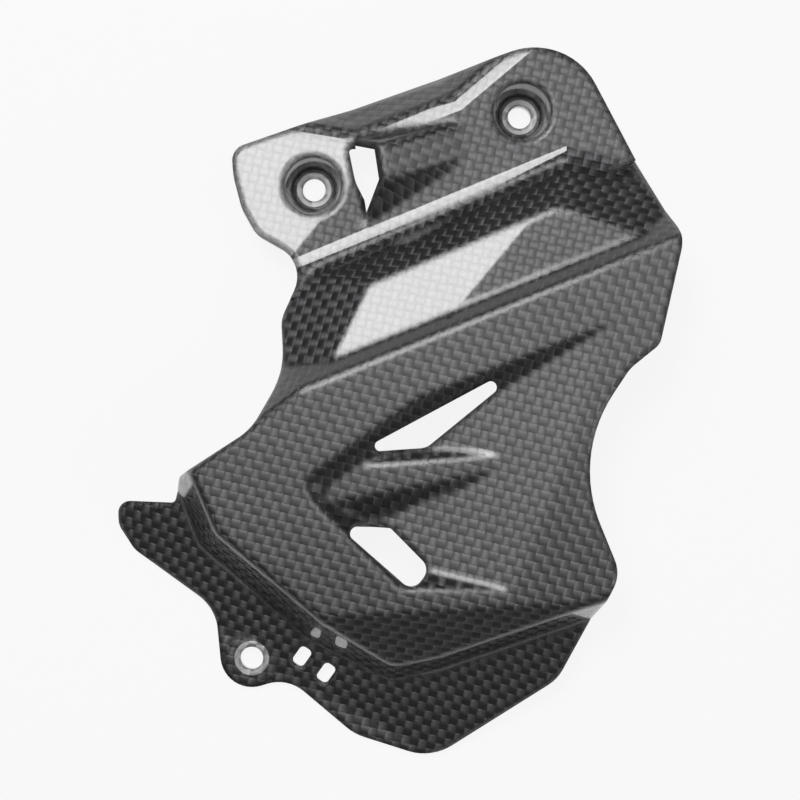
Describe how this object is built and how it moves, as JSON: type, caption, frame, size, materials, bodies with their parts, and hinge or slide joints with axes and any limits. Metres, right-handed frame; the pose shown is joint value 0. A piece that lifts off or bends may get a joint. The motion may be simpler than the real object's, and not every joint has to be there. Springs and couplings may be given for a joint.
{
  "type": "motorcycle sprocket cover",
  "caption": "Moulded carbon sprocket cover: a creased shell with a return edge, bolt cups, a flange with a low bolt hole, vents, a hood and a recessed arrow panel.",
  "frame": {"origin": "axis of the left bolt hole, on the plane where the bolt cups meet the engine", "axes": "+Z out of the cover's front along the bolts, +Y up the front towards the two bolt cups, +X to the right across the front"},
  "size_m": [0.1559, 0.1983, 0.032],
  "materials": {
    "carbon_laminate": "clear-coated plain-weave carbon laminate"
  },
  "bodies": {
    "root": {"cover_shell": "carbon_laminate"}
  },
  "joints": []
}
